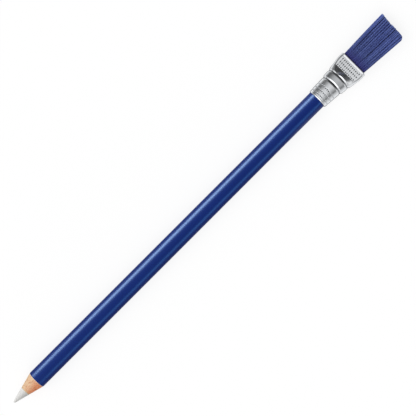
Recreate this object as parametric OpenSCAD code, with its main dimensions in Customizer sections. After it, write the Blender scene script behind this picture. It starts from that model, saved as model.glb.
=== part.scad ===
// Eraser pencil with a brush.
// A white eraser core is glued between two wooden slats, undercoated and painted, and sharpened to
// a point. At the other end the paint is turned off to a shoulder, and a sheet-metal ferrule is
// crimped on the bare wood. It is round there, and pressed flat where it grips a fan of bristles.
// The pencil lies along +X, with its point towards -X and the wide side of the brush level. The
// origin is on the axis, at the middle of the painted length that shows.

/* [Barrel] */
// Diameter of the painted barrel
barrel_d = 7.5; // [6.8:0.1:8.2]
// Length of the barrel, from the eraser's tip to the end inside the ferrule
blank_len = 174.2; // [90:0.1:180]
// Thickness of the coloured lacquer
lacquer_t = 0.1; // [0.08:0.01:0.2]
// Thickness of the pale undercoat beneath the lacquer
undercoat_t = 0.08; // [0.06:0.01:0.14]
// Gap between the shoulder of the paint and the ferrule's lip
shoulder_gap = 0.05; // [0.03:0.01:0.15]

/* [Core and point] */
// Diameter of the eraser core
core_d = 4; // [3:0.1:4.8]
// Thickness of the glue film around the core and between the slats
glue_t = 0.08; // [0.06:0.01:0.14]
// Angle between the sharpened cone and the axis, in degrees
point_angle = 14.8; // [11:0.1:22]
// Radius of the rounded eraser tip
tip_r = 0.5; // [0.3:0.1:1]

/* [Ferrule] */
// Thickness of the ferrule's sheet metal
wall_t = 0.4; // [0.25:0.01:0.45]
// Clearance between the ferrule and the bare wood that it is crimped on
ferrule_gap = 0.18; // [0.03:0.01:0.2]
// Length of barrel inside the ferrule
barrel_grip = 7.1; // [6.4:0.1:9]
// Gap between the barrel's end and the first groove
groove_gap = 0.2; // [0.2:0.1:1.5]
// Width of the rolled groove behind the barrel
groove_w = 1.2; // [1:0.1:1.8]
// Width of the rolled groove before the slope
neck_groove_w = 1.2; // [1:0.1:1.6]
// Depth of both rolled grooves
groove_depth = 0.3; // [0.15:0.05:0.4]
// Length of the bead between the two grooves
bead_len = 2.45; // [1.5:0.05:4]
// Length of the slope from the round part down to the flat part
slope_len = 2.6; // [2.5:0.05:3.2]
// Length of the flat part that holds the brush
flat_len = 5.25; // [4.8:0.05:8]
// Skew of the slope's upper edge, as a share of the distance from the middle
slope_skew = 0.4; // [0:0.02:0.4]
// Width of the ferrule where the barrel ends
sleeve_w = 9.36; // [9:0.02:9.6]
// Width of the ferrule at the middle of the bead
bead_w = 10.24; // [9.8:0.02:10.4]
// Height of the ferrule at the middle of the bead
bead_h = 7.7; // [7.4:0.1:8]
// Greatest width of the flat part
fan_w = 12.46; // [11.6:0.02:13]
// Width of the ferrule's mouth
mouth_w = 12.38; // [11.4:0.02:12.6]
// Height of the ferrule's mouth
mouth_h = 3; // [2.4:0.1:3.6]
// Sideways offset of the mouth from the barrel's axis
mouth_offset = 0.4; // [0:0.05:0.6]

/* [Crimp marks] */
// Number of crimp marks around each row
crimp_count = 32; // [24:2:40]
// Depth of the crimp marks
crimp_depth = 0.15; // [0.05:0.05:0.2]
// Width of a row of crimp marks
crimp_w = 0.7; // [0.5:0.1:0.9]
// Spacing of the rows that grip the barrel
barrel_crimp_pitch = 1.75; // [1.5:0.05:1.9]
// Spacing of the rows that grip the brush
brush_crimp_pitch = 1.55; // [1.3:0.05:1.6]

/* [Brush] */
// Length of bristle that shows
bristle_len = 21.7; // [12:0.1:30]
// Thickness of a bristle
bristle_t = 0.17; // [0.14:0.01:0.19]
// Spacing of the bristles at their roots
bristle_pitch = 0.236; // [0.225:0.001:0.26]
// How much wider the brush is at its tips than at its roots
fan_out = 1.21; // [1:0.01:1.3]
// How much thicker the brush is at its tips than at its roots
puff_out = 1.35; // [1:0.05:1.6]
// Sideways lean of the brush at its tips
tip_lean = 0.4; // [0:0.05:1]
// Greatest difference in length between bristles
raggedness = 0.7; // [0:0.1:1.2]
// How much shorter the bristles are at the worn side than at the other
trim_skew = 0.6; // [0:0.1:1.5]
// How much shorter still the bristles are at the worn corner
corner_wear = 1.5; // [0:0.1:2.5]
// Gap between the ferrule and what is bonded into it
bond_gap = 0.04; // [0.03:0.01:0.08]

/* [Hidden] */

// Radii of the barrel's layers
barrel_r = barrel_d / 2;
undercoat_r = barrel_r - lacquer_t;
wood_r = undercoat_r - undercoat_t;
core_r = core_d / 2;
core_groove_r = core_r + glue_t;

// Places along the pencil, from the eraser's tip
nose_back = tip_r * (1 / sin(point_angle) - 1);
paint_start = cone_z(barrel_r);
ferrule_start = blank_len - barrel_grip;
paint_end = ferrule_start - shoulder_gap;
origin_z = (paint_start + paint_end) / 2;

// Places along the ferrule, from its lip
lip_lead = 0.6;
groove_1_z = barrel_grip + groove_gap + groove_w / 2;
bead_z = groove_1_z + groove_w / 2 + bead_len / 2;
groove_2_z = bead_z + bead_len / 2 + neck_groove_w / 2;
slope_z = groove_2_z + neck_groove_w / 2;
crease_z = slope_z + slope_len;
fan_z = crease_z + flat_len / 2;
mouth_z = crease_z + flat_len;

// Shape of the ferrule: place from the lip, half width, and half height of its rounded crown.
// The flat part is this rounded shape cut down to the mouth's height.
lip_r = wood_r + ferrule_gap + wall_t;
lip_flare = 0.15;
crown_r = lip_r + 0.05;
bead_flare = 0.1;
neck_drop = 0.1;
crease_crown = 2.8;
side_crown = 2.5;
shape = [
    [0, lip_r, lip_r],
    [lip_lead, lip_r + lip_flare, crown_r],
    [barrel_grip, sleeve_w / 2, crown_r],
    [bead_z - bead_len / 2, bead_w / 2 - bead_flare, bead_h / 2],
    [bead_z + bead_len / 2, bead_w / 2 + bead_flare, bead_h / 2],
    [slope_z, (2 * bead_w + fan_w) / 6, bead_h / 2 - neck_drop],
    [crease_z, (bead_w + 2 * fan_w) / 6, crease_crown],
    [fan_z, fan_w / 2, side_crown],
    [mouth_z, mouth_w / 2, side_crown]
];

// Rings of the ferrule's mesh
ring_points = 2 * crimp_count;
edge_r = 0.12;
groove_steps = 6;
slope_steps = 4;
bow = 0.6;
bow_start = 3;
barrel_crimps = [for (i = [0:2]) lip_lead + crimp_w + i * barrel_crimp_pitch];
brush_lead = 0.5;
brush_crimps = [for (i = [0:2]) crease_z + brush_lead + i * brush_crimp_pitch];

// The brush's root, and the space for it in the ferrule's mouth
root_recess = 0.25;
root_z = mouth_z - root_recess;
root_inset = wall_t + bond_gap;
root_margin = 0.25;
root_half_w = mouth_w / 2 - root_inset - bristle_t - root_margin;
root_half_h = mouth_h / 2 - root_inset - bristle_t / 2;
root_embed = 0.5;
wear_from = 0.8;
columns = floor(2 * root_half_w / bristle_pitch) + 1;
seed = 11;

// Distance from the tip at which the sharpened cone has radius r
function cone_z(r) = r / tan(point_angle) - nose_back;

function blend(a, b, t) = a + (b - a) * t;
function smooth(t) = let (u = max(0, min(1, t))) u * u * (3 - 2 * u);

// Column c of a table whose first column is the place, drawn as one smooth curve through its rows
function rise(table, i, c) =
    let (lo = max(0, i - 1), hi = min(len(table) - 1, i + 1))
    (table[hi][c] - table[lo][c]) / (table[hi][0] - table[lo][0]);
function row_of(table, z) =
    max(0, min(len(table) - 2, len([for (row = table) if (row[0] <= z) 1]) - 1));
function curve(table, z, c) =
    let (
        i = row_of(table, z),
        step = table[i + 1][0] - table[i][0],
        t = (z - table[i][0]) / step
    )
    table[i][c] * (1 + 2 * t) * pow(1 - t, 2)
    + table[i + 1][c] * t * t * (3 - 2 * t)
    + rise(table, i, c) * step * t * pow(1 - t, 2)
    - rise(table, i + 1, c) * step * t * t * (1 - t);

// Half height to which the ferrule is pressed flat, at distance y from its middle
function pressed(z, y) =
    let (late = -slope_skew * y, t = (z - slope_z - late) / (slope_len - late))
    t < 0 ? 2 * barrel_d : blend(curve(shape, slope_z, 2), mouth_h / 2, min(1, t));

// Inward dip of the two rolled grooves
function dip(z, at, width) =
    abs(z - at) < width / 2 ? groove_depth * pow(cos(180 * (z - at) / width), 2) : 0;
function grooves(z) = dip(z, groove_1_z, groove_w) + dip(z, groove_2_z, neck_groove_w);

// The rings of the grooves bow towards the brush, because the metal is pressed flat there
function bow_at(z) =
    bow * (z < groove_1_z
        ? smooth((z - bow_start) / (groove_1_z - bow_start))
        : 1 - smooth((z - groove_2_z) / (crease_z - groove_2_z)));

// Sideways shift of the ferrule's middle
function shift(z) = -mouth_offset * smooth(z / crease_z);

// Half height of the section at distance y from its middle
function height_at(y, half_w, crown, press) = min(press, crown * sqrt(max(0, 1 - pow(y / half_w, 2))));

// Distance from the middle, as a share of half_w, of a point at share t of the way from the
// section's side to its top, with the points evenly spaced
function spread(t, half_w, crown, press) =
    let (
        top = min(press, crown),
        round = half_w * (1 - sqrt(1 - pow(top / crown, 2))),
        arc = 45 * PI / 180 * (round + top),
        at = t * (arc + half_w - round)
    )
    (at < arc ? half_w - round * (1 - cos(90 * at / arc)) : half_w - round - (at - arc)) / half_w;

// Is a point at share s of the way around the ferrule on the flat part of its section?
function on_flat(z, s) =
    let (
        t = 1 - abs(1 - abs(4 * s - 2)),
        half_w = curve(shape, z, 1),
        crown = curve(shape, z, 2),
        press = pressed(z, 0)
    )
    crown * sqrt(max(0, 1 - pow(spread(t, half_w, crown, press), 2))) > press;

// A point at share s of the way around the ferrule's section at z, moved in by inset
function rim(z, s, inset) =
    let (
        quarter = floor(4 * s),
        t = 4 * s - quarter,
        toward_top = quarter % 2 == 0 ? t : 1 - t,
        side = quarter == 0 || quarter == 3 ? 1 : -1,
        level = quarter < 2 ? 1 : -1,
        inward = inset + grooves(z),
        half_w = curve(shape, z, 1) - inward,
        crown = curve(shape, z, 2) - inward,
        press = pressed(z, side * half_w * cos(90 * toward_top)) - inward,
        y = half_w * spread(toward_top, half_w, crown, press),
        x = height_at(y, half_w, crown, press)
    )
    [level * x, side * y + shift(z), z + bow_at(z) * pow(x / crown, 2)];

function ring(z, inset, marks = false, points = ring_points) = [
    for (k = [0:points - 1])
        let (marked = marks && k % 2 == 0 && (z < barrel_grip || on_flat(z, k / points)))
        rim(z, k / points, inset + (marked ? crimp_depth : 0))
];

// Ring i of the slope, counted from the barrel
function slope_ring(i, inset) = ring(slope_z + i / slope_steps * slope_len, inset);

// Joins rings of points into one skin. A tube's last ring joins its first.
module skin(rings, tube = false) {
    n = len(rings[0]);
    last = len(rings) - 1;
    sides = [
        for (i = [0:tube ? last : last - 1], j = [0:n - 1])
            let (
                a = i * n + j,
                b = i * n + (j + 1) % n,
                up = ((i + 1) % len(rings)) * n,
                c = up + (j + 1) % n,
                d = up + j
            )
            each [[a, b, c], [a, c, d]]
    ];
    caps = tube ? [] : [
        for (j = [1:n - 2])
            each [[0, j + 1, j], [last * n, last * n + j, last * n + j + 1]]
    ];
    polyhedron(points = [for (r = rings) each r], faces = concat(sides, caps), convexity = 6);
}

// Lays a piece that stands on its tip down along +X, with the origin at its place
module lay_down() {
    translate([-origin_z, 0, 0]) rotate([0, 90, 0]) children();
}

// A tube of the barrel, cut by the sharpened cone
module sharpened_tube(r_in, r_out, end = blank_len) {
    rotate_extrude($fn = 96) polygon([
        [r_in, cone_z(r_in)],
        [r_out, cone_z(r_out)],
        [r_out, end],
        [r_in, end]
    ]);
}

module eraser_core() {
    nose_steps = 8;
    color("#e4e3e0") lay_down() rotate_extrude($fn = 96) polygon(concat(
        [
            for (i = [0:nose_steps])
                let (turn = i / nose_steps * (90 - point_angle))
                [tip_r * sin(turn), tip_r * (1 - cos(turn))]
        ],
        [[core_r, cone_z(core_r)], [core_r, blank_len], [0, blank_len]]
    ));
}

// Glue around the core, and the two strips of it between the slats
module glue_film() {
    color("#e9dcb8") lay_down() {
        sharpened_tube(core_r, core_groove_r);
        intersection() {
            sharpened_tube(core_groove_r, wood_r);
            translate([-glue_t / 2, -barrel_r, 0]) cube([glue_t, barrel_d, blank_len]);
        }
    }
}

// Half of the wooden casing, with its groove for the core. side is 1 or -1.
module slat(side) {
    color("#dfb48c") lay_down() intersection() {
        sharpened_tube(core_groove_r, wood_r);
        translate([side > 0 ? -glue_t / 2 - barrel_r : glue_t / 2, -barrel_r, 0])
            cube([barrel_r, barrel_d, blank_len]);
    }
}

module slat_upper() {
    slat(1);
}

module slat_lower() {
    slat(-1);
}

module undercoat() {
    color("#e6e2e4") lay_down() sharpened_tube(wood_r, undercoat_r, paint_end);
}

module lacquer_coat() {
    color("#14296e") lay_down() sharpened_tube(undercoat_r, barrel_r, paint_end);
}

// One sheet-metal tube. It has a turned-in lip, three rows of crimp marks on the barrel, two rolled
// grooves with a bead between them, a slope, and a flat part with three rows of crimp marks.
module ferrule() {
    row = [-crimp_w / 2, 0, crimp_w / 2];
    groove = [for (i = [0:groove_steps]) i / groove_steps - 0.5];
    outside = concat(
        [ring(0, edge_r), ring(edge_r, 0), ring(lip_lead, 0)],
        [for (z = barrel_crimps, d = row) ring(z + d, 0, d == 0)],
        [ring(barrel_grip, 0)],
        [for (d = groove) ring(groove_1_z + d * groove_w, 0)],
        [for (d = groove) ring(groove_2_z + d * neck_groove_w, 0)],
        [for (i = [1:slope_steps]) slope_ring(i, 0)],
        [for (z = brush_crimps, d = row) ring(z + d, 0, d == 0)],
        [ring(mouth_z - edge_r, 0), ring(mouth_z, edge_r)]
    );
    inside = concat(
        [ring(mouth_z, wall_t), ring(fan_z, wall_t)],
        [for (i = [slope_steps:-1:1]) slope_ring(i, wall_t)],
        [for (d = groove) ring(groove_2_z - d * neck_groove_w, wall_t)],
        [for (d = groove) ring(groove_1_z - d * groove_w, wall_t)],
        [ring(barrel_grip, wall_t), ring(lip_lead, wall_t), ring(0, wall_t)]
    );
    color("#c9cccf") lay_down() translate([0, 0, ferrule_start])
        skin(concat(outside, inside), tube = true);
}

// Resin poured behind the bristles' roots, which fills the ferrule's slope
module root_resin() {
    color("#b9a06a") lay_down() translate([0, 0, ferrule_start])
        skin([for (i = [1:slope_steps]) slope_ring(i, root_inset)]);
}

// The place of the bristle in column i and row j of a column with that many rows, and how much
// shorter than the longest one it is cut there
function root_y(i) = (i - (columns - 1) / 2) * bristle_pitch;
function rows_at(y) =
    let (room = height_at(y, root_half_w + bristle_t / 2, side_crown - root_inset, root_half_h))
    floor(2 * room / bristle_pitch) + 1;
function root_x(j, rows) = (j - (rows - 1) / 2) * bristle_pitch;
function wear(y) =
    let (out = -y / root_half_w)
    trim_skew * (1 + out) / 2 + corner_wear * smooth((out - wear_from) / (1 - wear_from));

// One bristle of four sides, from its root in the root block to its tip
function bristle(x, y, cut) =
    let (
        half = bristle_t / 2,
        tip = [x * puff_out, y * fan_out - tip_lean, root_z + root_recess + bristle_len - cut],
        root = [x, y, root_z - root_embed]
    )
    [for (end = [root, tip], c = [[-1, -1], [1, -1], [1, 1], [-1, 1]]) end + half * [c[0], c[1], 0]];

// The bristles, fused to the block of packed roots that the ferrule's flat part grips
module bristle_tuft() {
    rows = [for (i = [0:columns - 1]) rows_at(root_y(i))];
    most = max(rows);
    cuts = rands(0, raggedness, columns * most, seed);
    bristles = [
        for (i = [0:columns - 1], j = [0:rows[i] - 1])
            bristle(root_x(j, rows[i]), root_y(i), cuts[i * most + j] + wear(root_y(i)))
    ];
    box = [
        [0, 1, 2], [0, 2, 3], [4, 6, 5], [4, 7, 6], [0, 4, 5], [0, 5, 1],
        [1, 5, 6], [1, 6, 2], [2, 6, 7], [2, 7, 3], [3, 7, 4], [3, 4, 0]
    ];
    color("#3c4a86") lay_down() translate([0, 0, ferrule_start]) {
        skin([for (z = [crease_z, fan_z, root_z]) ring(z, root_inset)]);
        translate([0, shift(mouth_z), 0]) polyhedron(
            points = [for (b = bristles) each b],
            faces = [for (b = [0:len(bristles) - 1], f = box) [for (p = f) 8 * b + p]],
            convexity = 10
        );
    }
}

eraser_core();
glue_film();
slat_upper();
slat_lower();
undercoat();
lacquer_coat();
ferrule();
root_resin();
bristle_tuft();
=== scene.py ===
"""The looks of an eraser pencil with a brush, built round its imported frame.

The pencil lies along X with its point towards -X, and the wide side of its brush is level. Shapes
are in millimetres until make() turns them into metres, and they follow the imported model's boxes.
The floor, the lamps and the camera are in metres. In names, R is a radius, T a thickness, W a
width and H a height.
"""

import math
from functools import reduce

import bmesh
import bpy
import numpy as np
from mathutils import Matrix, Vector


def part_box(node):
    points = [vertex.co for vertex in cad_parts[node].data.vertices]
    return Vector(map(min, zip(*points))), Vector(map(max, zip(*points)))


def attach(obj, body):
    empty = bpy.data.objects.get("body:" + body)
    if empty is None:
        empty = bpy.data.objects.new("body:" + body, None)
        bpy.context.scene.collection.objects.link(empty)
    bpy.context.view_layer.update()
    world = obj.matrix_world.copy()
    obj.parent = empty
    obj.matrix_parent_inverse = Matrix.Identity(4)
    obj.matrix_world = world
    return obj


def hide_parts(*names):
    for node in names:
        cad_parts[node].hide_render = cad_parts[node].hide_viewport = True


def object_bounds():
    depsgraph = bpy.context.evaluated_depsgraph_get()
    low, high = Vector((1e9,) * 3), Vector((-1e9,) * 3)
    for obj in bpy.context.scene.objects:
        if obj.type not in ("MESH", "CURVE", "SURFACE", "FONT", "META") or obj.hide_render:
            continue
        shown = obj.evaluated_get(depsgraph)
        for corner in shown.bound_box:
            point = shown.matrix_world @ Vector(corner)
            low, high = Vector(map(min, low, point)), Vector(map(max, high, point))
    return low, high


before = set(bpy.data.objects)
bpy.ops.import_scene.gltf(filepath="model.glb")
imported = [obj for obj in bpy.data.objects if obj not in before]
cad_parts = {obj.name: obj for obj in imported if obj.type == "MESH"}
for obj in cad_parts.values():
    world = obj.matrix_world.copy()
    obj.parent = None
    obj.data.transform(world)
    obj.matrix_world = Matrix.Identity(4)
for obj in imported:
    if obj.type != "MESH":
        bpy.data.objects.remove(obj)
cad_low, cad_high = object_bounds()

MM = 0.001
SEED = 11
BODY = "root"


def box_mm(node):
    """The lowest and highest corners of a CAD node, in millimetres."""
    low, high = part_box(node)
    return np.array(low) / MM, np.array(high) / MM


core_low, core_high = box_mm("eraser_core")
paint_high = box_mm("lacquer_coat")[1]
tuft_low, tuft_high = box_mm("bristle_tuft")

# The barrel. Its coats are drawn thinner than the solids, about as thin as real ones.
TIP_X = core_low[0]
BLANK_END = core_high[0]
PAINT_END = paint_high[0]
CORE_R = 2.06
GLUE_T = 0.08
GLUE_R = CORE_R + GLUE_T
WOOD_R = 3.645
PRIMER_R = 3.675
BARREL_R = 3.75
AROUND = 128

# The sharpened point
POINT_ANGLE = math.radians(14.8)
TIP_R = 0.5
NOSE_BACK = TIP_R * (1 / math.sin(POINT_ANGLE) - 1)


def cone_x(radius):
    """Where the sharpened cone has a radius."""
    return TIP_X + radius / math.tan(POINT_ANGLE) - NOSE_BACK


def smooth(t):
    """A soft step from 0 to 1 while t goes from 0 to 1."""
    t = np.clip(t, 0, 1)
    return t * t * (3 - 2 * t)


def bump(distance, width):
    """A round hump of height 1 and that width."""
    return np.where(np.abs(distance) < width / 2, np.cos(math.pi * distance / width) ** 2, 0)


# Meshes


def make(name, points, faces, node, slot, sharp=35, marks=None):
    """A piece from points in millimetres, which stands for a CAD node and rides on the body.
    Edges over sharp degrees stay hard. marks is a dict of numbers per point, for the material."""
    mesh = bpy.data.meshes.new(name)
    mesh.from_pydata((np.asarray(points, float) * MM).tolist(), [], faces)
    for mark, values in (marks or {}).items():
        layer = mesh.attributes.new(mark, "FLOAT", "POINT")
        layer.data.foreach_set("value", np.asarray(values, np.float32))
    work = bmesh.new()
    work.from_mesh(mesh)
    bmesh.ops.recalc_face_normals(work, faces=work.faces)
    work.to_mesh(mesh)
    work.free()
    mesh.shade_smooth()
    mesh.set_sharp_from_angle(angle=math.radians(sharp))
    piece = bpy.data.objects.new(name, mesh)
    bpy.context.scene.collection.objects.link(piece)
    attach(piece, BODY)
    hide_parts(node)
    return piece


def loft(rings, around, loop=False, start=0):
    """Quads between rings of points. Without loop, the first and last rings get a face each."""
    faces = []
    for i in range(rings if loop else rings - 1):
        a = start + i * around
        b = start + (i + 1) % rings * around
        for j in range(around):
            k = (j + 1) % around
            faces.append((a + j, a + k, b + k, b + j))
    if not loop:
        last = start + (rings - 1) * around
        faces.append(tuple(start + j for j in range(around)))
        faces.append(tuple(last + j for j in range(around)))
    return faces


def revolve(outline, move=None):
    """Rings of points about X from (x, radius) pairs. move(i, angles) gives each ring's shifts
    along x and of the radius."""
    angles = np.arange(AROUND) * 2 * math.pi / AROUND
    rings = []
    for i, (x, radius) in enumerate(outline):
        dx, dr = move(i, angles) if move else (0, 0)
        r = radius + dr + 0 * angles
        rings.append(np.stack([x + dx + 0 * angles, r * np.cos(angles), r * np.sin(angles)], 1))
    return np.concatenate(rings)


def half_revolve(outline, around, side, gap):
    """Half of a revolve, on one side of a gap at the level plane through the axis."""
    arcs = []
    for x, radius in outline:
        start = math.asin(gap / radius)
        angles = np.linspace(start, math.pi - start, around)
        y = radius * np.cos(angles)
        z = side * radius * np.sin(angles)
        arcs.append(np.stack([x + 0 * angles, y, z], 1))
    faces = []
    for i in range(len(outline)):
        a = i * around
        b = (i + 1) % len(outline) * around
        for j in range(around - 1):
            faces.append((a + j, a + j + 1, b + j + 1, b + j))
    for j in (0, around - 1):
        faces.append(tuple(i * around + j for i in range(len(outline))))
    return np.concatenate(arcs), faces


# The barrel's coats

COAT_RINGS = 30
LACQUER_EDGE = 0.05
PRIMER_EDGE = 0.015
CHIP_SEED = 5
CHIP_WAVES = 9
CHIP_DEPTH = 0.012
CHIPPED_RINGS = (1, 2)


def waves(angles):
    """A smooth random curve round the barrel, between about -1 and 1."""
    draw = np.random.default_rng(CHIP_SEED)
    height = 0 * angles
    for k in range(1, CHIP_WAVES + 1):
        size = draw.normal() / math.sqrt(CHIP_WAVES)
        height = height + size * np.cos(k * 3 * angles + draw.uniform(0, 7))
    return height


def chips(i, angles):
    """The paint's cut edge is a little uneven."""
    if i not in CHIPPED_RINGS:
        return 0, 0
    return CHIP_DEPTH * (1 + waves(angles)), 0


def coat(name, inner, outer, edge, node, slot, move=None):
    """A tube of the barrel cut by the sharpened cone, with its outer edges eased."""
    start = cone_x(outer)
    plain = np.linspace(start + 2 * edge, PAINT_END - edge, COAT_RINGS)
    outline = [(cone_x(inner), inner), (start - 1.5 * edge, outer - 0.4 * edge)]
    outline += [(x, outer) for x in plain]
    outline += [(PAINT_END, outer - edge), (PAINT_END, inner)]
    faces = loft(len(outline), AROUND, loop=True)
    return make(name, revolve(outline, move), faces, node, slot)


lacquer = coat("lacquer", PRIMER_R, BARREL_R, LACQUER_EDGE, "lacquer_coat", "lacquer", chips)
primer = coat("primer", WOOD_R, PRIMER_R, PRIMER_EDGE, "undercoat", "undercoat")

# The casing: two slats of wood with a seam of glue between them

SLAT_AROUND = 96
SLAT_RINGS = 12
SLAT_PLAIN = 3

slat_outline = [(cone_x(r), r) for r in np.linspace(GLUE_R, WOOD_R, SLAT_RINGS)]
slat_plain = np.linspace(cone_x(WOOD_R) + SLAT_PLAIN, BLANK_END, SLAT_RINGS)
slat_outline += [(x, WOOD_R) for x in slat_plain]
slat_outline += [(BLANK_END, GLUE_R)]
slats = []
for name, node, side in (("casing_upper", "slat_upper", 1), ("casing_lower", "slat_lower", -1)):
    slat_points, slat_faces = half_revolve(slat_outline, SLAT_AROUND, side, GLUE_T / 2)
    slats.append(make(name, slat_points, slat_faces, node, "casing_wood"))


def glue_mesh():
    """The glue: a film round the core, and a strip on each side of it in the seam."""
    film = [
        (cone_x(CORE_R), CORE_R),
        (cone_x(GLUE_R), GLUE_R),
        (BLANK_END, GLUE_R),
        (BLANK_END, CORE_R),
    ]
    strip = [
        (cone_x(GLUE_R), GLUE_R),
        (cone_x(WOOD_R), WOOD_R),
        (BLANK_END, WOOD_R),
        (BLANK_END, GLUE_R),
    ]
    points = revolve(film)
    faces = loft(len(film), AROUND, loop=True)
    for side in (1, -1):
        faces += loft(2, len(strip), start=len(points))
        sheet = [(x, side * y, z) for z in (-GLUE_T / 2, GLUE_T / 2) for x, y in strip]
        points = np.concatenate([points, sheet])
    return points, faces


glue = make("glue_line", *glue_mesh(), "glue_film", "glue")

# The eraser core

NOSE_RINGS, CONE_RINGS, PLAIN_RINGS = 14, 26, 6
CORE_PLAIN = 6
NOSE_START = 0.03
WORN_LEN, WORN_DEPTH, WORN_SIDE = 1.6, 0.1, 0.6
RIPPLE, RIPPLES_AROUND, RIPPLES_ALONG = 0.012, 7, 3.1
RIPPLES_AFTER_TIP, RIPPLES_BEFORE_END = 1, 0.4
MOST_WORN = 0.3

nose = np.linspace(NOSE_START, math.pi / 2 - POINT_ANGLE, NOSE_RINGS)
cone = np.linspace(TIP_R * math.cos(POINT_ANGLE), CORE_R, CONE_RINGS)[1:]
core_plain = np.linspace(cone_x(CORE_R) + CORE_PLAIN, BLANK_END, PLAIN_RINGS)
core_outline = [(TIP_X + TIP_R * (1 - math.cos(a)), TIP_R * math.sin(a)) for a in nose]
core_outline += [(cone_x(r), r) for r in cone]
core_outline += [(x, CORE_R) for x in core_plain]


def wear(i, angles):
    """The tip is worn a little flat on one side, and the cone has faint cutter marks."""
    x, radius = core_outline[i]
    tip = smooth((WORN_LEN - (x - TIP_X)) / WORN_LEN)
    worn = WORN_DEPTH * tip * (0.5 + 0.5 * np.cos(angles - WORN_SIDE)) ** 2
    on_cone = TIP_X + RIPPLES_AFTER_TIP < x < cone_x(CORE_R) - RIPPLES_BEFORE_END
    ripple = RIPPLE * (1 + np.sin(RIPPLES_AROUND * angles + RIPPLES_ALONG * x)) * on_cone
    return 0, -np.minimum(radius * MOST_WORN, worn + ripple)


core_faces = loft(len(core_outline), AROUND)
core = make("eraser", revolve(core_outline, wear), core_faces, "eraser_core", "eraser")

# The ferrule. Places along it count from its lip, and it is the CAD's shape with finer marks.

FERRULE_POINTS = 320
SHARES = np.arange(FERRULE_POINTS) / FERRULE_POINTS
GRIP = 7.1
FERRULE_X = BLANK_END - GRIP
WALL = 0.4
EDGE = 0.12

# Where its parts lie: the grooves' middles, the bead's, and the slope, the flat and the mouth
LIP_LEAD = 0.6
GROOVE_1, BEAD, GROOVE_2 = 7.9, 9.725, 11.55
SLOPE, CREASE, FAN, MOUTH = 12.15, 14.75, 17.375, 20.0
GROOVE_FRONT, GROOVE_BACK, GROOVE_DEPTH = 1.2, 1.9, 0.3
BEAD_LEN = 2.45

# How wide and high they are
LIP_R, LIP_FLARE, CROWN_R, SLEEVE_HALF_W = 4.15, 0.15, 4.20, 4.68
BEAD_W, BEAD_H, BEAD_FLARE = 10.24, 7.7, 0.1
NECK_DROP, CREASE_CROWN, SIDE_CROWN = 0.1, 2.8, 2.5
FAN_W, MOUTH_W, MOUTH_H = 12.46, 12.38, 3.0
CORNER_FILL = 1.5
FAR_OUT = 9

# How it leans: the rings bow towards the mouth, and the flat is pressed a little askew
BOW, BOW_START = 0.6, 3
LIP_SHIFT, MOUTH_SHIFT, SLOPE_SKEW = 0.08, 0.4, 0.4

# The plain shape: places along the ferrule, each with the half width and the half height there
SHAPE = np.array([
    [0, LIP_R, LIP_R],
    [LIP_LEAD, LIP_R + LIP_FLARE, CROWN_R],
    [GRIP, SLEEVE_HALF_W, CROWN_R],
    [BEAD - BEAD_LEN / 2, BEAD_W / 2 - BEAD_FLARE, BEAD_H / 2],
    [BEAD + BEAD_LEN / 2, BEAD_W / 2 + BEAD_FLARE, BEAD_H / 2],
    [SLOPE, (2 * BEAD_W + FAN_W) / 6, BEAD_H / 2 - NECK_DROP],
    [CREASE, (BEAD_W + 2 * FAN_W) / 6, CREASE_CROWN],
    [FAN, FAN_W / 2, SIDE_CROWN],
    [MOUTH, MOUTH_W / 2, SIDE_CROWN],
])
HALF_WIDTH, CROWN = 1, 2


def curve(z, column):
    """One smooth curve through a column of the ferrule's table."""
    places, values = SHAPE[:, 0], SHAPE[:, column]
    last = len(SHAPE) - 1
    rise = np.empty(len(SHAPE))
    for i in range(len(SHAPE)):
        low, high = max(0, i - 1), min(last, i + 1)
        rise[i] = (values[high] - values[low]) / (places[high] - places[low])
    i = np.clip(np.searchsorted(places, z, side="right") - 1, 0, last - 1)
    step = places[i + 1] - places[i]
    t = (z - places[i]) / step
    level = values[i] * (1 + 2 * t) * (1 - t) ** 2 + values[i + 1] * t * t * (3 - 2 * t)
    return level + rise[i] * step * t * (1 - t) ** 2 - rise[i + 1] * step * t * t * (1 - t)


def pressed(z, y):
    """Height of the pressed faces: a slope down to the flat. Before the slope it is far out."""
    late = -SLOPE_SKEW * y
    t = (z - SLOPE - late) / (CREASE - SLOPE - late)
    high = curve(SLOPE, CROWN)
    return np.where(t < 0, FAR_OUT, high + (MOUTH_H / 2 - high) * np.minimum(1, t))


def rolled(distance):
    """The section of a rolled groove, of depth 1. Its wall towards the lip is the longer one."""
    return np.where(distance < 0, bump(distance, GROOVE_BACK), bump(distance, GROOVE_FRONT))


def grooves(z):
    """Depth of the two rolled grooves."""
    return GROOVE_DEPTH * (rolled(z - GROOVE_1) + rolled(z - GROOVE_2))


def bow_at(z):
    """How far the rings bow towards the mouth."""
    before = smooth((z - BOW_START) / (GROOVE_1 - BOW_START))
    after = 1 - smooth((z - GROOVE_2) / (CREASE - GROOVE_2))
    return BOW * np.where(z < GROOVE_1, before, after)


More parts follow.
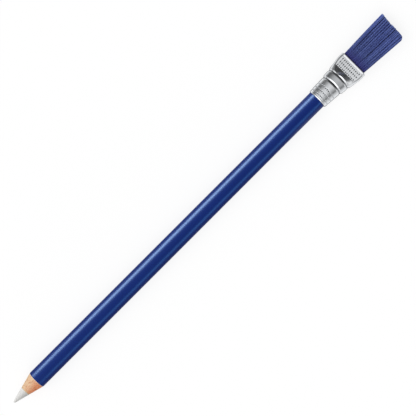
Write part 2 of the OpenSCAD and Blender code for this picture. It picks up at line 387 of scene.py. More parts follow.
def rim(place, inset):
    """The ferrule's section at a place, moved in by inset: its points' x, y and z, and which of
    them lie on a pressed face."""
    z = np.full(FERRULE_POINTS, float(place))
    quarter = np.floor(4 * SHARES)
    t = 4 * SHARES - quarter
    t = np.where(quarter % 2 == 0, t, 1 - t)
    side = np.where((quarter == 0) | (quarter == 3), 1, -1)
    level = np.where(quarter < 2, 1, -1)
    inward = inset + grooves(z)
    half_w = curve(z, HALF_WIDTH) - inward
    crown = curve(z, CROWN) - inward
    press = pressed(z, side * half_w * np.cos(math.pi / 2 * t)) - inward
    # A quarter of the section is an arc over its rounded side, then a straight way to the middle
    top = np.minimum(press, crown)
    rounded = half_w * (1 - np.sqrt(1 - (top / crown) ** 2))
    arc = math.pi / 4 * (rounded + top)
    at = t * (arc + half_w - rounded)
    turn = np.minimum(1, at / arc) * math.pi / 2
    on_arc = half_w - rounded * (1 - np.cos(turn))
    y = np.where(at < arc, on_arc, half_w - rounded - (at - arc))
    oval = crown * np.sqrt(np.maximum(0, 1 - (y / half_w) ** 2))
    height = np.minimum(press, oval)
    # The flat's rounded sides fill out to quarter ellipses
    corner = np.clip((y - half_w + rounded) / rounded, 0, 1)
    filled = np.maximum(height, press * np.sqrt(1 - corner**2))
    full = smooth((z - CREASE) / CORNER_FILL)
    height = np.where(press < crown, height + full * (filled - height), height)
    shift = -LIP_SHIFT - (MOUTH_SHIFT - LIP_SHIFT) * smooth(z / CREASE)
    x = FERRULE_X + z + bow_at(z) * (height / crown) ** 2
    return x, side * y + shift, level * height, oval > press


# Marks in the metal. PIT_ROWS has the place and the depth of each row of crimp marks.

MARKS = 32
PIT_ROWS = [(1.5, 0.28), (3.15, 0.3), (4.85, 0.28), (15.25, 0.26), (16.8, 0.3), (18.35, 0.3)]
PIT_REACH = 0.45
PIT_LEN, PIT_W = 0.72, 0.58
PIT_WEAK, PIT_STRONG = 0.75, 1.15
SCATTER_AROUND, SCATTER_ALONG = 0.05, 0.04
FLUTE_DEPTH = 0.06
FLUTED_HALF_W = 5.1
FLUTES_AFTER_CREASE, FLUTES_BEFORE_MOUTH = 0.2, 0.8
FLUTE_START_FADE, FLUTE_END_FADE, FLUTE_SIDE_FADE = 0.4, 0.3, 0.5
REST_INSET = 0.02
LIP_TURN, LIP_TURN_LEN = 0.06, 0.4
LIP_LINE, LIP_LINE_AT = 0.04, 0.8
HEM_LINE, HEM_LINE_AT = 0.05, 0.75
LINE_W = 0.5


def pits(z):
    """Depth of the crimp marks of a ring at z."""
    depth = 0 * SHARES
    nearest = np.floor(SHARES * MARKS + 0.5).astype(int) % MARKS
    across = (SHARES * MARKS + 0.5) % 1 - 0.5
    for row, (at, deep) in enumerate(PIT_ROWS):
        if abs(z - at) > PIT_REACH:
            continue
        draw = np.random.default_rng(SEED + row)
        power = draw.uniform(PIT_WEAK, PIT_STRONG, MARKS)[nearest]
        aside = draw.normal(0, SCATTER_AROUND, MARKS)[nearest]
        along = draw.normal(0, SCATTER_ALONG, MARKS)[nearest]
        mark = bump(across + aside, PIT_W) * bump(z - at + along, PIT_LEN)
        depth = depth + deep * power * mark
    return depth


def flutes(z, y):
    """Depth of the fine flutes along the flat faces, at y from the middle of the ferrule."""
    start = smooth((z - CREASE - FLUTES_AFTER_CREASE) / FLUTE_START_FADE)
    end = smooth((MOUTH - FLUTES_BEFORE_MOUTH - z) / FLUTE_END_FADE)
    sides = smooth((FLUTED_HALF_W - np.abs(y)) / FLUTE_SIDE_FADE)
    wave = 0.5 + 0.5 * np.cos(2 * math.pi * MARKS * SHARES)
    return FLUTE_DEPTH * wave * (start * end) * sides


def inset_at(z):
    """How far the surface lies inside the plain shape at z: the turned lip and the line beside
    it, the hem's line and the crimp marks."""
    turn = LIP_TURN * np.clip(1 - z / LIP_TURN_LEN, 0, 1) ** 2
    lip = turn + LIP_LINE * bump(z - LIP_LINE_AT, LINE_W)
    hem = HEM_LINE * bump(z - MOUTH + HEM_LINE_AT, LINE_W)
    return REST_INSET + lip + hem + pits(z)


# Painted shade on the metal, from 0 to about 1: in its hollows, on its slope, inside it and on its
# round crowns. A crimp mark is fully shaded from a depth on, and the round parts have their full
# shade from a height on.

SLEEVE_PIT_SHADED, FLAT_PIT_SHADED = 0.24, 0.16
FLUTE_SHADE, FLUTE_SHADE_SLANT = 7.2, 0.55
SLOPE_SHADE = 0.4
SLEEVE_CROWN_SHADE, SLEEVE_CROWN_SHADE_END = 0.22, GROOVE_1 - 0.6
BEAD_CROWN_SHADE, BEAD_SHADE_REACH, BEAD_SHADE_FADE = 0.48, 1.3, 0.3
BEAD_LESS_SHADE, BEAD_LESS_SHADE_Y, BEAD_LESS_SHADE_FADE = 0.6, -1.8, 1.2
ROUND_SHADE_H = 3.2
EDGE_SHADE, INSIDE_SHADE = 0.3, 0.8


def groove_shade(z):
    """Painted shade on the grooves' walls that face the brush."""
    first = np.where(z < GROOVE_1, rolled(z - GROOVE_1), 0)
    second = np.where((z > BEAD) & (z < GROOVE_2), rolled(z - GROOVE_2), 0)
    return first + second


def crown_shade(z, y):
    """Faint painted shade on the crowns of the round parts. The bead has the most, and less of it
    towards -Y.
    """
    bead = smooth((BEAD_SHADE_REACH - abs(z - BEAD)) / BEAD_SHADE_FADE)
    bead = bead * (1 - BEAD_LESS_SHADE * smooth((BEAD_LESS_SHADE_Y - y) / BEAD_LESS_SHADE_FADE))
    return SLEEVE_CROWN_SHADE * (z < SLEEVE_CROWN_SHADE_END) + BEAD_CROWN_SHADE * bead


def outer_ring(z):
    """The inset of a ring on the outside, and the painted shade on it."""
    _, y, height, flat = rim(z, 0)
    on_flat = z > CREASE
    dug = pits(z)
    marked = flat if on_flat else np.ones(FERRULE_POINTS, bool)
    fluted = flutes(z, y + MOUTH_SHIFT)
    # Crimp marks get painted shade that grows with their depth
    shaded = dug / (FLAT_PIT_SHADED if on_flat else SLEEVE_PIT_SHADED)
    # The grooves' walls that face the brush get painted shade
    dark = np.where(marked, shaded, 0) + groove_shade(z)
    # Painted shade on the slope down to the flat
    dark = dark + SLOPE_SHADE * (flat & (z < CREASE))
    # Painted shade on the crowns of the sleeve and the bead
    dark = dark + crown_shade(z, y) * smooth(np.abs(height) / ROUND_SHADE_H)
    # Painted shade in the flutes, more of it towards +Y
    dark = dark + (FLUTE_SHADE + FLUTE_SHADE_SLANT * y) * fluted
    return inset_at(z) - np.where(marked, 0, dug) + fluted, dark


# Stretches of the outside, each with the step between its rings
OUTER_STRETCHES = [
    (EDGE, 1.2, 0.08),
    (1.2, 5.8, 0.075),
    (5.8, 7.5, 0.14),
    (7.5, 12.6, 0.1),
    (12.6, 14.8, 0.08),
    (14.8, MOUTH - EDGE, 0.075),
]
OUTER_TURN = np.linspace(0, math.pi / 2, 5)
INNER_TURN = np.linspace(0, math.pi / 2, 4)
SLOPE_INSIDE = np.linspace(CREASE, SLOPE, 9)
GROOVES_INSIDE = np.linspace(GROOVE_2, GROOVE_1 - 0.7, 16)


def ferrule_rings():
    """Rings over the lip, along the outside, over the mouth's edge and back along the inside.
    Each is its place, its inset and its painted shade."""
    rings = []
    for a in reversed(OUTER_TURN[:-1]):
        rings.append((EDGE * (1 - math.sin(a)), inset_at(0) + EDGE * (1 - math.cos(a)), 0))
    for stretch in OUTER_STRETCHES:
        for z in np.arange(*stretch):
            rings.append((z, *outer_ring(z)))
    for a in OUTER_TURN:
        z = MOUTH - EDGE + EDGE * math.sin(a)
        rings.append((z, inset_at(MOUTH) + EDGE * (1 - math.cos(a)), 0))
    # Over the mouth's inner edge and along the inside, the rings get painted shade
    for a in INNER_TURN:
        z = MOUTH - EDGE + EDGE * math.cos(a)
        rings.append((z, WALL - EDGE + EDGE * math.sin(a), EDGE_SHADE))
    for z in (FAN, *SLOPE_INSIDE, *GROOVES_INSIDE, GRIP, LIP_LEAD):
        rings.append((z, WALL, INSIDE_SHADE))
    for a in INNER_TURN:
        rings.append((EDGE * (1 - math.sin(a)), WALL - EDGE * (1 - math.cos(a)), EDGE_SHADE))
    return rings


shell_rings = ferrule_rings()
shell_points = np.concatenate([np.stack(rim(z, inset)[:3], 1) for z, inset, _ in shell_rings])
shell_shade = np.concatenate([dark + 0 * SHARES for _, _, dark in shell_rings])
shell_faces = loft(len(shell_rings), FERRULE_POINTS, loop=True)
ferrule = make("ferrule_shell", shell_points, shell_faces, "ferrule", "ferrule_metal", sharp=60,
               marks={"painted_shade": shell_shade})

# The brush. Each bristle is a thin tube from its root in the ferrule to its tip.

STRAND_R = 0.075
STRAND_THINNEST, STRAND_THICKEST = 0.9, 1.06
SIDES, STEPS = 6, 11
PITCH = 0.158
HEX_ROW = 0.866
ROOT_HALF_W, ROOT_HALF_H, ROOT_CROWN, ROOT_MARGIN = 5.32, 1.0, 2.02, 0.12
ROOT_Y = -0.28
ROOT_LEN = 3.2
SPREAD_LEN = 2
FAN_OUT, PUFF_OUT, LEAN = 1.215, 1.3, 0.52
ROOT_JITTER, TIP_JITTER, BEND = 0.018, 0.09, 0.05
TIP_MARGIN, SIDE_MARGIN = 0.02, 0.1
MOUTH_X = FERRULE_X + MOUTH
TIPS_X = tuft_high[0]
FREE_LEN = TIPS_X - MOUTH_X
ROOT_X = MOUTH_X - ROOT_LEN

# How much shorter bristles are cut: at random, by lock, past the step, to -Y, and at the corner
RAGGED, RAGGED_POWER, LOCK_RAGGED = 0.55, 1.6, 0.22
TRIM_STEP, TRIM_STEP_AT, TRIM_STEP_W, TRIM_SLANT = 0.42, 0.95, 0.5, 0.05
CORNER_WEAR, CORNER_AT, CORNER_W, CORNER_POWER = 1.7, 0.55, 0.45, 3.2

# Where the brush parts into locks: the place across its roots, how deep, and from where along it
PARTINGS = [
    (3.83, 1.0, 0.0),
    (3.16, 0.6, 0.04),
    (2.21, 0.5, 0.08),
    (1.46, 0.5, 0.12),
    (0.65, 0.55, 0.32),
    (-0.7, 0.55, 0.32),
    (-1.43, 1.0, 0.0),
    (-2.21, 0.4, 0.2),
    (-2.86, 0.25, 0.24),
    (-3.48, 0.5, 0.08),
    (-4.32, 0.45, 0.0),
]
PARTING_W, PARTING_GROWS, PARTING_AT_START = 0.15, 0.3, 0.7
PULL, PULL_REACH, SINK = 0.15, 0.5, 0.6
TONE_ALONE, TONE_BAND = 0.55, 0.45


def root_places():
    """Places of the roots on a tight hexagonal grid inside the ferrule's mouth."""
    places = []
    row = 0
    z = -ROOT_HALF_H
    while z <= ROOT_HALF_H:
        y = -ROOT_HALF_W + (row % 2) * PITCH / 2
        while y <= ROOT_HALF_W:
            oval = ROOT_CROWN * math.sqrt(max(0, 1 - (y / (ROOT_HALF_W + ROOT_MARGIN)) ** 2))
            if abs(z) <= min(ROOT_HALF_H, oval):
                places.append((y, z))
            y += PITCH
        z += PITCH * HEX_ROW
        row += 1
    return np.array(places)


def cut_short(rng, y0):
    """How much shorter than the longest one each bristle is cut."""
    share = y0 / ROOT_HALF_W
    cut = RAGGED * rng.uniform(0, 1, len(y0)) ** RAGGED_POWER
    lock = sum((y0 > at).astype(int) for at, _, _ in PARTINGS)
    cut = cut + rng.uniform(0, LOCK_RAGGED, lock.max() + 1)[lock]
    cut = cut + TRIM_STEP * smooth((TRIM_STEP_AT - share) / TRIM_STEP_W)
    cut = cut + TRIM_SLANT * (1 - share)
    cut = cut + CORNER_WEAR * np.clip((-share - CORNER_AT) / CORNER_W, 0, 1) ** CORNER_POWER
    return cut - cut.min()


def drawn_aside(y0, y, free):
    """The bristles' y once they draw aside from each parting, and how deep in one they lie."""
    valley = np.zeros(free.shape)
    deepens = PARTING_AT_START + (1 - PARTING_AT_START) * free
    for at, deep, since in PARTINGS:
        apart = y0 - at
        near = np.exp(-((apart / PARTING_W) ** 2))
        grow = smooth((free - since) / PARTING_GROWS)
        valley = np.maximum(valley, deep * near[:, None] * grow * deepens)
        pull = PULL * deep * np.tanh(apart / PARTING_W) * np.exp(-((apart / PULL_REACH) ** 2))
        y = y + pull[:, None] * grow
    return y, valley


def strands(rng, x, y, z):
    """The points and faces of a thin tube along each bristle's line."""
    count = len(x)
    turns = np.arange(SIDES) * 2 * math.pi / SIDES
    spin = rng.uniform(0, math.pi, count)
    radius = STRAND_R * rng.uniform(STRAND_THINNEST, STRAND_THICKEST, count)
    circle_y = radius[:, None] * np.cos(turns + spin[:, None])
    circle_z = radius[:, None] * np.sin(turns + spin[:, None])
    points = np.zeros((count, STEPS, SIDES, 3))
    points[..., 0] = x[:, :, None]
    points[..., 1] = y[:, :, None] + circle_y[:, None, :]
    points[..., 2] = z[:, :, None] + circle_z[:, None, :]
    faces = []
    for k in range(count):
        faces += loft(STEPS, SIDES, start=k * STEPS * SIDES)
    return points.reshape(-1, 3), faces


def brush_mesh():
    """All bristles as one mesh: its points, its faces and their marks for the material."""
    rng = np.random.default_rng(SEED)
    roots = root_places()
    count = len(roots)
    roots = roots + rng.normal(0, ROOT_JITTER, roots.shape)
    y0, z0 = roots[:, 0], roots[:, 1]
    tip_noise = rng.normal(0, TIP_JITTER, (count, 2))
    bend = rng.normal(0, BEND, (count, 2))
    lengths = TIPS_X - TIP_MARGIN - cut_short(rng, y0) - ROOT_X
    x = ROOT_X + lengths[:, None] * np.linspace(0, 1, STEPS)[None, :]
    free = smooth((x - MOUTH_X) / SPREAD_LEN) * np.clip((x - MOUTH_X) / FREE_LEN, 0, 1)

    # The bristles fan out to their tips, inside the sides of the CAD's tuft
    lowest = tuft_low[1] - ROOT_Y + SIDE_MARGIN
    highest = tuft_high[1] - ROOT_Y - SIDE_MARGIN
    tip_y = np.clip(y0 * FAN_OUT - LEAN + tip_noise[:, 0], lowest, highest)
    tip_z = z0 * PUFF_OUT + tip_noise[:, 1]
    bowed = np.sin(math.pi * free)
    y = y0[:, None] + (tip_y - y0)[:, None] * free + bend[:, :1] * bowed
    z = z0[:, None] + (tip_z - z0)[:, None] * free + bend[:, 1:] * bowed
    y, valley = drawn_aside(y0, y, free)
    points, faces = strands(rng, x, y + ROOT_Y, z * (1 - SINK * valley))

    # Each bristle has its own tone, on broad bands across the brush
    band = 0.5 + 0.5 * np.sin(y0 * 2.3 + 1.0) * np.sin(y0 * 5.1 + 0.3)
    tone = np.clip(TONE_ALONE * rng.uniform(0, 1, count) + TONE_BAND * band, 0, 1)
    marks = {
        "tone": np.repeat(tone, STEPS * SIDES),
        "valley": np.repeat(valley.ravel(), SIDES),
        "along": np.repeat(((x - MOUTH_X) / FREE_LEN).ravel(), SIDES),
    }
    return points, faces, marks


brush_points, brush_faces, brush_marks = brush_mesh()
bristles = make("bristles", brush_points, brush_faces, "bristle_tuft", "bristle_nylon", sharp=70,
                marks=brush_marks)


# Nodes

MIX_A, MIX_B, MIX_COLOUR = 6, 7, 2


class Nodes:
    """Short calls for the nodes of a material or of the world."""

    def __init__(self, tree):
        self.tree = tree

    def node(self, kind, inputs=None, **settings):
        made = self.tree.nodes.new("ShaderNode" + kind)
        for key, value in settings.items():
            setattr(made, key, value)
        for socket, value in (inputs or {}).items():
            self.feed(made, socket, value)
        return made

    def feed(self, node, socket, value):
        """Link a socket to a node's input, or set the input to a value."""
        entry = node.inputs[socket]
        if isinstance(value, bpy.types.NodeSocket):
            self.tree.links.new(value, entry)
        elif entry.type == "RGBA" and len(value) == 3:
            entry.default_value = (*value, 1)
        else:
            entry.default_value = value

    def split(self, vector):
        """The x, y and z of a vector."""
        return self.node("SeparateXYZ", {0: vector}).outputs

    def math(self, operation, a, b=0.0):
        return self.node("Math", {0: a, 1: b}, operation=operation).outputs[0]

    def total(self, *values):
        return reduce(lambda a, b: self.math("ADD", a, b), values)

    def product(self, *values):
        return reduce(lambda a, b: self.math("MULTIPLY", a, b), values)

    def rest_of(self, value):
        """What is left of 1."""
        return self.math("SUBTRACT", 1.0, value)

    def remap(self, value, low, high, to_low=0.0, to_high=1.0, shape="LINEAR"):
        made = self.node("MapRange", {
            "Value": value,
            "From Min": low,
            "From Max": high,
            "To Min": to_low,
            "To Max": to_high,
        }, interpolation_type=shape)
        return made.outputs["Result"]

    def ease(self, value, low, high, to_low=0.0, to_high=1.0):
        """A remap that starts and ends softly."""
        return self.remap(value, low, high, to_low, to_high, "SMOOTHSTEP")

    def mix(self, share, a, b):
        inputs = {"Factor": share, MIX_A: a, MIX_B: b}
        return self.node("Mix", inputs, data_type="RGBA").outputs[MIX_COLOUR]


class Look(Nodes):
    """A procedural material round a Principled shader."""

    def __init__(self, name, **settings):
        self.material = bpy.data.materials.new(name)
        self.material.use_nodes = True
        super().__init__(self.material.node_tree)
        self.shader = self.tree.nodes["Principled BSDF"]
        for socket, value in settings.items():
            self.feed(self.shader, socket.replace("_", " "), value)
        self.place = self.node("TexCoord").outputs["Object"]

    def noise(self, scale, detail=3, rough=0.55, distortion=0.0):
        """Noise with a scale for each axis, per millimetre."""
        per_metre = tuple(value / MM for value in scale)
        scaled = self.node("VectorMath", {0: self.place, 1: per_metre}, operation="MULTIPLY")
        made = self.node("TexNoise", {
            "Vector": scaled.outputs[0],
            "Scale": 1.0,
            "Detail": detail,
            "Roughness": rough,
            "Distortion": distortion,
        })
        return made.outputs["Fac"]

    def mark(self, name):
        """A number that the mesh gives for each point."""
        found = self.node("Attribute", attribute_name=name, attribute_type="GEOMETRY")
        return found.outputs["Fac"]

    def colour(self, value):
        self.feed(self.shader, "Base Color", value)

    def rough(self, value):
        self.feed(self.shader, "Roughness", value)

    def bump(self, height, strength, distance):
        """Fine relief, with its height in millimetres."""
        inputs = {"Height": height, "Strength": strength, "Distance": distance * MM}
        self.feed(self.shader, "Normal", self.node("Bump", inputs).outputs["Normal"])

    def on(self, *pieces):
        for piece in pieces:
            piece.data.materials.clear()
            piece.data.materials.append(self.material)


def srgb(red, green, blue):
    """Linear colour from screen values of 0 to 255."""
    shares = (value / 255 for value in (red, green, blue))
    return tuple(c / 12.92 if c <= 0.04045 else ((c + 0.055) / 1.055) ** 2.4 for c in shares)


# The lacquer

PAINT_DEEP = srgb(7, 28, 101)
PAINT_CLEAR = srgb(9, 35, 113)
PAINT_SHINE = (0.4, 0.65, 1)

paint = Look("lacquer_gloss", IOR=1.33, Specular_IOR_Level=0.5, Specular_Tint=PAINT_SHINE)
paint.colour(paint.mix(paint.noise((0.04, 0.3, 0.3), detail=2), PAINT_DEEP, PAINT_CLEAR))
paint.rough(paint.remap(paint.noise((0.3, 1.2, 1.2)), 0.2, 0.8, 0.33, 0.36))
paint.on(lacquer)

# The primer

PRIMER_SHADE = srgb(206, 190, 176)
PRIMER_LIGHT = srgb(226, 212, 200)

pale = Look("primer_matte", Roughness=0.7)
pale.colour(pale.mix(pale.noise((3, 3, 3)), PRIMER_SHADE, PRIMER_LIGHT))
pale.on(primer)

# The wood: fibres, flecks, redder tone and painted shade towards -Y, painted shadow under the lip

WOOD_PALE = srgb(213, 183, 147)
WOOD_RED_SHADED = srgb(224, 127, 75)
WOOD_FIBRE = srgb(176, 98, 56)
WOOD_FLECK = srgb(243, 208, 172)
WOOD_LIP_SHADOW = srgb(46, 40, 44)

wood = Look("cedar", Roughness=0.62)
wood_x, wood_y, _ = wood.split(wood.place)
bands = wood.noise((0.05, 1.5, 1.5), rough=0.5, distortion=0.4)
fibres = wood.noise((0.12, 3.2, 3.2), detail=4, rough=0.65)
flecks = wood.noise((0.3, 6, 6), rough=0.6)
uneven_y = wood.total(wood_y, wood.remap(bands, 0.3, 0.7, -0.9 * MM, 0.9 * MM))
# Redder and darker towards -Y: partly the wood's own tone, partly painted shade away from the key
# light
cedar = wood.mix(wood.remap(uneven_y, 1.2 * MM, -2.2 * MM), WOOD_PALE, WOOD_RED_SHADED)
cedar = wood.mix(wood.remap(fibres, 0.5, 0.64, 0, 0.8), cedar, WOOD_FIBRE)
cedar = wood.mix(wood.remap(flecks, 0.5, 0.66, 0, 0.55), cedar, WOOD_FLECK)
# Painted shadow on the wood past the end of the paint, where the ferrule's lip hides it
under_lip = wood.remap(wood_x, (PAINT_END - 0.3) * MM, PAINT_END * MM)
wood.colour(wood.mix(under_lip, cedar, WOOD_LIP_SHADOW))
wood.rough(wood.remap(fibres, 0.3, 0.7, 0.5, 0.72))
wood.bump(wood.total(fibres, wood.product(flecks, 0.5)), strength=0.5, distance=0.03)
wood.on(*slats)

# The glue

GLUE_PALE = srgb(214, 190, 150)
GLUE_DARK = srgb(190, 160, 118)

dried = Look("glue_dry", Roughness=0.5)
dried.colour(dried.mix(dried.noise((2, 6, 6)), GLUE_PALE, GLUE_DARK))
dried.on(glue)

# The eraser, with painted shade: it is greyer towards -Y, the side away from the key light

RUBBER_LIGHT = srgb(217, 216, 214)
RUBBER_SHADE = srgb(206, 205, 203)
RUBBER_PAINTED_SHADE = srgb(186, 185, 182)

rubber = Look("eraser_vinyl", Roughness=0.75)
_, rubber_y, _ = rubber.split(rubber.place)
unshaded_rubber = rubber.mix(rubber.noise((0.5, 1.4, 1.4), detail=4), RUBBER_LIGHT, RUBBER_SHADE)
# Painted shade: the eraser greys towards -Y, away from the key light
rubber.colour(rubber.mix(rubber.remap(rubber_y, 0.6 * MM, -1.6 * MM, 0, 0.85), unshaded_rubber, RUBBER_PAINTED_SHADE))
rubber.bump(rubber.noise((6, 9, 9)), strength=0.35, distance=0.02)
rubber.on(core)

# The ferrule's metal

METAL_SHADE = srgb(229, 232, 236)
METAL_LIGHT = srgb(244, 246, 248)
METAL_PAINTED_SHADE = srgb(70, 73, 80)

metal = Look("aluminium", Metallic=1.0)
spun = metal.noise((14, 0.5, 0.5))
cloud = metal.noise((0.5, 0.5, 0.5))
bare = metal.mix(cloud, METAL_SHADE, METAL_LIGHT)
# The mark darkens the metal with painted shade: in its hollows, on its slope, on its crowns and
# inside
metal.colour(metal.mix(metal.remap(metal.mark("painted_shade"), 0.15, 0.9, 0, 0.85), bare, METAL_PAINTED_SHADE))
metal.rough(metal.total(metal.remap(cloud, 0.3, 0.7, 0.1, 0.18), metal.product(spun, 0.08)))
metal.bump(spun, strength=0.1, distance=0.01)
metal.on(ferrule)

# The nylon, with streaks, painted shade in the partings, a violet tone and painted shade towards
# the roots, and lighter tips

NYLON_DARK = srgb(55, 68, 138)
NYLON_LIGHT = srgb(104, 124, 196)
NYLON_STREAK = srgb(118, 140, 206)
NYLON_LINE = srgb(30, 34, 104)
NYLON_PARTING_SHADE = srgb(4, 4, 58)
NYLON_INNER_SHADE = srgb(20, 24, 70)
NYLON_NECK_VIOLET_SHADE = srgb(36, 26, 112)
NYLON_ROOT_VIOLET_SHADE = srgb(16, 6, 80)
NYLON_TIP = srgb(120, 146, 206)

nylon = Look("nylon_blue", Specular_IOR_Level=0.35)
along = nylon.mark("along")
streak = nylon.noise((0.1, 3.5, 3.5))
toned = nylon.mix(nylon.mark("tone"), NYLON_DARK, NYLON_LIGHT)
toned = nylon.mix(nylon.remap(streak, 0.5, 0.7, 0, 0.5), toned, NYLON_STREAK)
toned = nylon.mix(nylon.remap(streak, 0.48, 0.32, 0, 0.4), toned, NYLON_LINE)
# Painted shade in the partings, by how deep a bristle lies in one
toned = nylon.mix(nylon.mark("valley"), toned, NYLON_PARTING_SHADE)
# Towards the roots the nylon has a violet tone and painted shade from the ferrule's mouth
toned = nylon.mix(nylon.remap(along, 0.1, 0.7, 0.38, 0), toned, NYLON_INNER_SHADE)
toned = nylon.mix(nylon.remap(along, 0.02, 0.22, 0.75, 0), toned, NYLON_NECK_VIOLET_SHADE)
toned = nylon.mix(nylon.remap(along, 0.0, 0.05, 0.9, 0), toned, NYLON_ROOT_VIOLET_SHADE)
toned = nylon.mix(nylon.remap(along, 0.94, 1.0, 0, 0.45), toned, NYLON_TIP)
nylon.colour(toned)
nylon.rough(nylon.remap(streak, 0.3, 0.7, 0.38, 0.52))
nylon.on(bristles)

# The resin, on its CAD solid

RESIN_LIGHT = srgb(170, 140, 92)
RESIN_DARK = srgb(150, 118, 70)

resin = Look("resin_amber", Roughness=0.3)
resin.colour(resin.mix(resin.noise((1, 1, 1)), RESIN_LIGHT, RESIN_DARK))
resin.on(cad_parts["root_resin"])

# The floor

FLOOR_GAP = 0.02 * MM
FLOOR_HALF = 5.0
WHITE = (1, 1, 1)
FLOOR_SHADE = (0.92, 0.92, 0.92)
FLOOR_LIGHT = (0.94, 0.94, 0.94)

# Camera and glossy rays see this share of it as a plain glow, and the rest as a surface that
# takes shadows. The glow has this strength for the camera.
GLOW_SHARE = 0.75
GLOW_WHITE = 1.1

# For glossy rays the glow is a painted pool of light: bright beside the pencil, over a wider strip
# beside the ferrule, and dim far away. Right under the ferrule it is dark, a painted shadow. These
# are widths from the pencil's middle.
BRIGHT_W, BRIGHT_FADE_W, WIDER_BY = 7 * MM, 11 * MM, 17 * MM
UNDER_SLEEVE_W, UNDER_FLAT_W, UNDER_FADE = 7.2 * MM, 9.4 * MM, 1.2 * MM
FAR_W = 5 * MM

# Its strengths in those places
BESIDE_BARREL = 0.35
FAR_GLOW = 0.12
FAR_EXTRA_PLUS_Y, FAR_EXTRA_MINUS_Y = 0.23, 0.63
UNDER_DARK = 0.75

# Stretches along the pencil, in millimetres, over which one of them gives way to the next
BESIDE_GROWS = 50, 58
PATCH_START = 58, 66
PATCH_END = 76, 80
WIDER_START = 62, 70
UNDER_START = 62, 66
UNDER_WIDENS = 68, 88
BRIGHT_END = 110, 120

floor_z = cad_low[2] - FLOOR_GAP
floor_signs = [(-1, -1), (1, -1), (1, 1), (-1, 1)]
floor_corners = [(x * FLOOR_HALF, y * FLOOR_HALF, floor_z) for x, y in floor_signs]
floor_mesh = bpy.data.meshes.new("floor")
floor_mesh.from_pydata(floor_corners, [], [(0, 1, 2, 3)])
floor = bpy.data.objects.new("floor", floor_mesh)
bpy.context.scene.collection.objects.link(floor)

ground = Look("floor_white", Roughness=0.9, Specular_IOR_Level=0.0)
ground.colour(ground.mix(ground.noise((0.01, 0.01, 0.01), detail=2), FLOOR_SHADE, FLOOR_LIGHT))
floor_x, floor_y, _ = ground.split(ground.place)
rays = ground.node("LightPath").outputs
shiny = ground.math("MAXIMUM", rays["Is Glossy Ray"], rays["Is Transmission Ray"])
seen = ground.math("MAXIMUM", rays["Is Camera Ray"], shiny)
off_middle = ground.math("ABSOLUTE", floor_y)


def over(stretch, to_low=0.0, to_high=1.0):
    """A number that changes over a stretch of the pencil's length."""
    start, end = stretch
    return ground.remap(floor_x, start * MM, end * MM, to_low, to_high)


at_ferrule = over(WIDER_START)
off_bright = ground.math("SUBTRACT", off_middle, ground.product(at_ferrule, WIDER_BY))
off_bright = ground.remap(off_bright, BRIGHT_W, BRIGHT_FADE_W)
far_extra = ground.remap(floor_y, FAR_W, -FAR_W, FAR_EXTRA_PLUS_Y, FAR_EXTRA_MINUS_Y)
far = ground.total(FAR_GLOW, ground.product(at_ferrule, far_extra))
patch = ground.product(over(PATCH_START), over(PATCH_END, 1, 0))
beside = ground.product(ground.rest_of(off_bright), over(BESIDE_GROWS, BESIDE_BARREL, 1))
near = ground.product(ground.math("MAXIMUM", patch, beside), over(BRIGHT_END, 1, 0))
off_under = ground.math("SUBTRACT", off_middle, over(UNDER_WIDENS, UNDER_SLEEVE_W, UNDER_FLAT_W))
under = ground.product(ground.remap(off_under, 0.0, UNDER_FADE, UNDER_DARK, 0.0), over(UNDER_START))
reflected = ground.total(ground.product(near, ground.rest_of(far)), far)
reflected = ground.product(reflected, ground.rest_of(under))
white = ground.product(ground.rest_of(shiny), GLOW_WHITE)
power = ground.total(ground.product(shiny, reflected), white)
glow = ground.node("Emission", {"Color": WHITE, "Strength": power})
blend = ground.node("MixShader", {
    0: ground.product(seen, GLOW_SHARE),
    1: ground.shader.outputs[0],
    2: glow.outputs[0],
})
surface = ground.tree.nodes["Material Output"].inputs["Surface"]
ground.tree.links.new(blend.outputs[0], surface)
# The glow isn't sampled as a lamp, because that only adds noise
ground.material.cycles.emission_sampling = "NONE"
ground.on(floor)

# The world: a soft studio whose brightness depends on the direction alone

ROOF_LIGHT = 0.64
WALL_LIGHT = 0.18
LOW_LIGHT = 0.6
SLOPE_LIGHT = 0.5

world = bpy.data.worlds.new("studio")
bpy.context.scene.world = world
world.use_nodes = True
sky = Nodes(world.node_tree)
background = sky.tree.nodes["Background"]
way_x, way_y, way_z = sky.split(sky.node("TexCoord").outputs["Generated"])

overhead = sky.math("POWER", sky.remap(way_z, 0.3, 1.0), 1.8)
roof = sky.product(overhead, ROOF_LIGHT, sky.ease(way_x, 0.3, 0.6, 1.0, 0.0))
# A window towards the point draws the bright lines on the grooves
window = sky.product(
    sky.ease(way_x, -0.45, -0.12, 1.0, 0.0),
    sky.ease(way_x, -0.97, -0.82, 0.2, 1.0),
    sky.ease(way_z, 0.0, 0.15),
    sky.ease(way_z, 0.5, 0.65, 0.55, 1.45),
)
walls = sky.product(WALL_LIGHT, sky.ease(way_x, 0.5, 0.9, 1.0, 0.45))
# Low light from -Y is for the lower edges of the metal
low_side = sky.product(LOW_LIGHT, sky.ease(way_y, -0.5, -0.85), sky.ease(way_z, 0.5, -0.05))
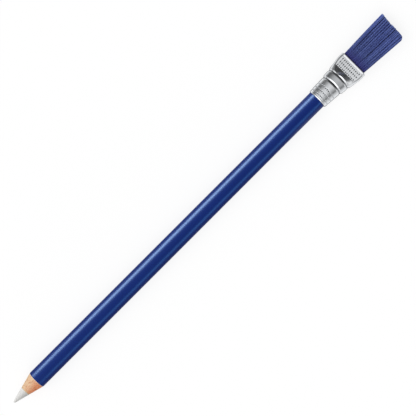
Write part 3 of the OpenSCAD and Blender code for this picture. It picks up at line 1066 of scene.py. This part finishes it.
# A small light past the brush is for the ferrule's slope
slope_light = sky.product(
    SLOPE_LIGHT,
    sky.ease(way_x, 0.22, 0.36),
    sky.ease(way_x, 0.7, 0.5),
    sky.ease(way_y, -0.45, -0.7),
    sky.ease(way_z, 0.7, 0.5),
)
sky.feed(background, "Strength", sky.total(roof, window, walls, low_side, slope_light))
sky.feed(background, "Color", WHITE)

# The lamps

LAMP_X = 0.014
LAMP_DISTANCE = 0.7
FILL_TINT = (0.35, 0.7, 1)


def softbox(name, from_zenith, long, wide, radiance, receivers=(), without=()):
    """A soft lamp beside the pencil, parallel to it, at an angle from the zenith towards +Y.
    It only adds a shine to its receivers where they are given, or lights all but some pieces."""
    angle = math.radians(from_zenith)
    lamp = bpy.data.objects.new(name, bpy.data.lights.new(name, "AREA"))
    lamp.data.shape = "RECTANGLE"
    lamp.data.size = long
    lamp.data.size_y = wide
    lamp.data.energy = radiance * math.pi * long * wide
    lamp.location = (LAMP_X, LAMP_DISTANCE * math.sin(angle), LAMP_DISTANCE * math.cos(angle))
    lamp.rotation_euler = (-angle, 0, 0)
    lamp.visible_camera = False
    lamp.visible_diffuse = not receivers
    bpy.context.scene.collection.objects.link(lamp)
    group = bpy.data.collections.new(name)
    for piece in (*receivers, *without):
        group.objects.link(piece)
    lamp.light_linking.receiver_collection = group
    for link in group.collection_objects:
        link.light_linking.link_state = "EXCLUDE" if without else "INCLUDE"
    return lamp


softbox("key", from_zenith=62, long=1.2, wide=0.5, radiance=1.95, without=(ferrule, floor))
softbox("shine", from_zenith=65, long=0.5, wide=0.3, radiance=35, receivers=(lacquer,))
fill = softbox("fill", from_zenith=-62, long=0.5, wide=0.25, radiance=8.5, receivers=(lacquer,))
fill.data.color = FILL_TINT

# The camera, which looks straight down, turned so that the pencil runs up to the right

CAMERA_PLACE = (0.0172, 0.00007, 0.613)
CAMERA_TURN = math.radians(-45)
LENS = 136
SENSOR = 36

camera = bpy.data.objects.new("camera", bpy.data.cameras.new("camera"))
camera.data.sensor_width = SENSOR
camera.data.lens = LENS
camera.location = CAMERA_PLACE
camera.rotation_euler = (0, 0, CAMERA_TURN)
bpy.context.scene.collection.objects.link(camera)
bpy.context.scene.camera = camera
bpy.context.scene.view_settings.view_transform = "Standard"
